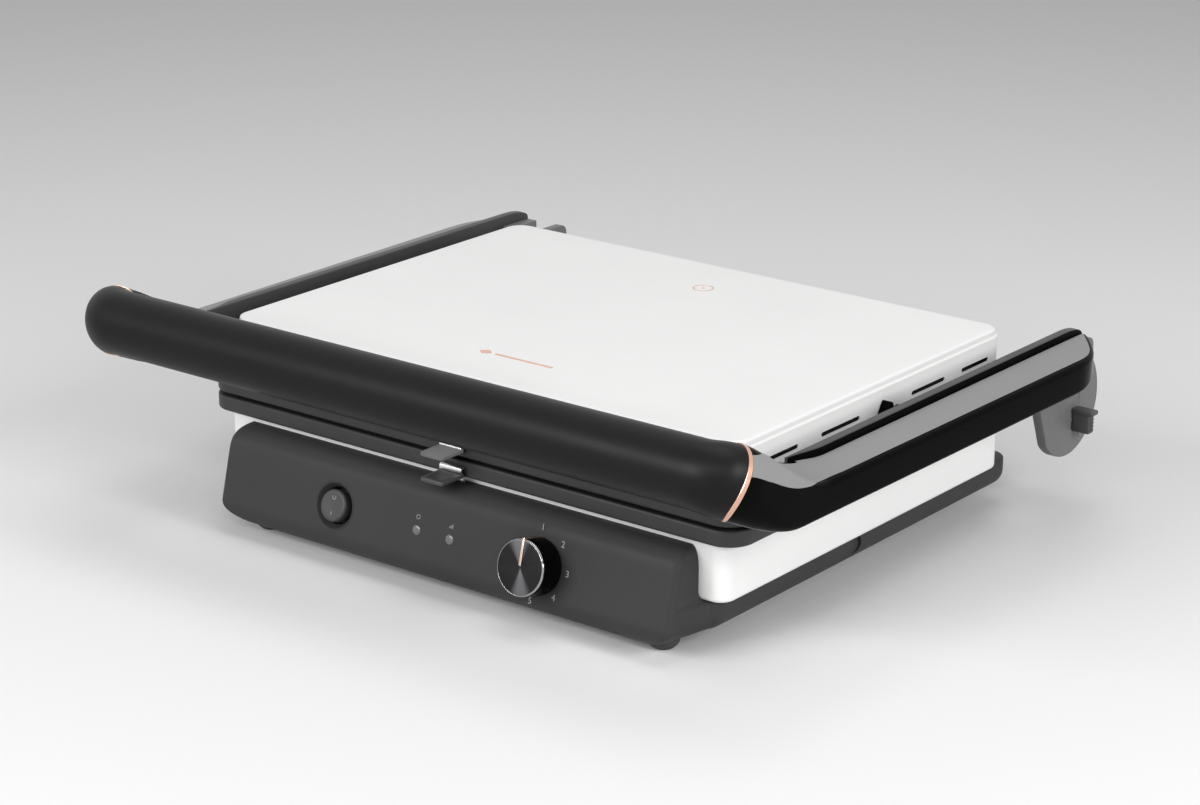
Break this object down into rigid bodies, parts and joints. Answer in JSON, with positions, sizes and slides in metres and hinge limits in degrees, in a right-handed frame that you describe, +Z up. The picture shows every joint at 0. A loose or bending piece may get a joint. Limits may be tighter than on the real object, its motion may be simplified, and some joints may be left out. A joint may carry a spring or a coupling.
{
  "type": "contact grill",
  "caption": "Countertop contact grill and sandwich press with a floating lid, ribbed plates, U-shaped lifting handle, dial, rocker switch and plate latches.",
  "frame": {"origin": "middle of the whole grill's box, on the surface that the feet stand on", "axes": "+X to the right along the front, +Y to the back, +Z up"},
  "size_m": [0.4578, 0.4103, 0.1394],
  "materials": {
    "white_enamel": "satin white paint",
    "panel_black": "fine satin black plastic",
    "gloss_black": "glossy black plastic",
    "matte_black": "matte black plastic",
    "grip_black": "soft matte black",
    "coated_plate": "non-stick coated cast aluminium",
    "satin_grey": "satin grey",
    "disc_grey": "satin dark grey",
    "rose_gold": "polished rose gold",
    "steel": "plain steel",
    "heater_sheath": "dark heater sheath",
    "rubber": "matte",
    "lamp_lens": "smoked lens",
    "brushed_black": "radially brushed dark"
  },
  "bodies": {
    "base": {"base_pan": "panel_black", "bottom_cover": "matte_black", "cover_screw_front_left": "steel", "cover_screw_front_right": "steel", "cover_screw_back_left": "steel", "cover_screw_back_right": "steel", "foot_front_left": "rubber", "foot_front_right": "rubber", "foot_back_left": "rubber", "foot_back_right": "rubber", "shell_lower": "white_enamel", "lower_plate": "coated_plate", "lower_heater": "heater_sheath", "lower_reflector": "steel", "thermostat": "steel", "switch_body": "matte_black", "lamp_power": "lamp_lens", "lamp_ready": "lamp_lens", "cord_gland": "matte_black", "hinge_housing": "matte_black", "hinge_shaft": "steel"},
    "handle": {"hinge_disc_left": "disc_grey", "hinge_disc_right": "disc_grey", "arm_cover_left": "gloss_black", "arm_cover_right": "gloss_black", "arm_frame_left": "matte_black", "arm_frame_right": "matte_black", "arm_strip_left": "satin_grey", "arm_strip_right": "satin_grey", "trim_ring_left": "rose_gold", "trim_ring_right": "rose_gold", "grip_front": "grip_black", "grip_back": "gloss_black", "grip_trim": "rose_gold", "pivot_pin_left": "steel", "pivot_pin_right": "steel"},
    "lid": {"lid_cover": "white_enamel", "lid_frame": "matte_black", "lid_pivot_left": "matte_black", "lid_pivot_right": "matte_black", "upper_plate": "coated_plate", "upper_heater": "heater_sheath", "upper_reflector": "steel"},
    "upper_latch": {"latch_clip_upper": "steel", "latch_tab_upper": "matte_black"},
    "lower_latch": {"latch_clip_lower": "steel", "latch_tab_lower": "matte_black"},
    "knob": {"knob_body": "gloss_black", "knob_cap": "brushed_black", "knob_pointer": "rose_gold"},
    "rocker": {"power_rocker": "panel_black"},
    "release": {"release_lever": "matte_black"}
  },
  "joints": [
    {"name": "handle_hinge", "type": "hinge", "parent": "base", "child": "handle", "pos_m": [0, 0.17335, 0.0631], "axis": [-1, 0, 0], "range_deg": [0, 175]},
    {"name": "lid_tilt", "type": "hinge", "parent": "handle", "child": "lid", "pos_m": [0, 0.01115, 0.098], "axis": [1, 0, 0], "range_deg": [0, 6]},
    {"name": "upper_latch_press", "type": "hinge", "parent": "lid", "child": "upper_latch", "pos_m": [0, -0.13975, 0.0858], "axis": [-1, 0, 0], "range_deg": [0, 12], "stiffness_Nm_per_rad": 0.4},
    {"name": "lower_latch_press", "type": "hinge", "parent": "base", "child": "lower_latch", "pos_m": [0, -0.13975, 0.0611], "axis": [1, 0, 0], "range_deg": [0, 12], "stiffness_Nm_per_rad": 0.4},
    {"name": "knob_turn", "type": "hinge", "parent": "base", "child": "knob", "pos_m": [0.0706, -0.1554, 0.0335], "axis": [0, 0.9703, -0.2419], "range_deg": [0, 190]},
    {"name": "rocker_press", "type": "hinge", "parent": "base", "child": "rocker", "pos_m": [-0.072, -0.15433, 0.03323], "axis": [1, 0, 0], "range_deg": [0, 12]},
    {"name": "release_slide", "type": "slide", "parent": "handle", "child": "release", "axis": [0, 0, 1], "range_m": [0, 0.006], "stiffness_N_per_m": 250}
  ],
  "couplings": [
    {"joint": "lid_tilt", "follows": "handle_hinge", "ratio": 0.03}
  ]
}
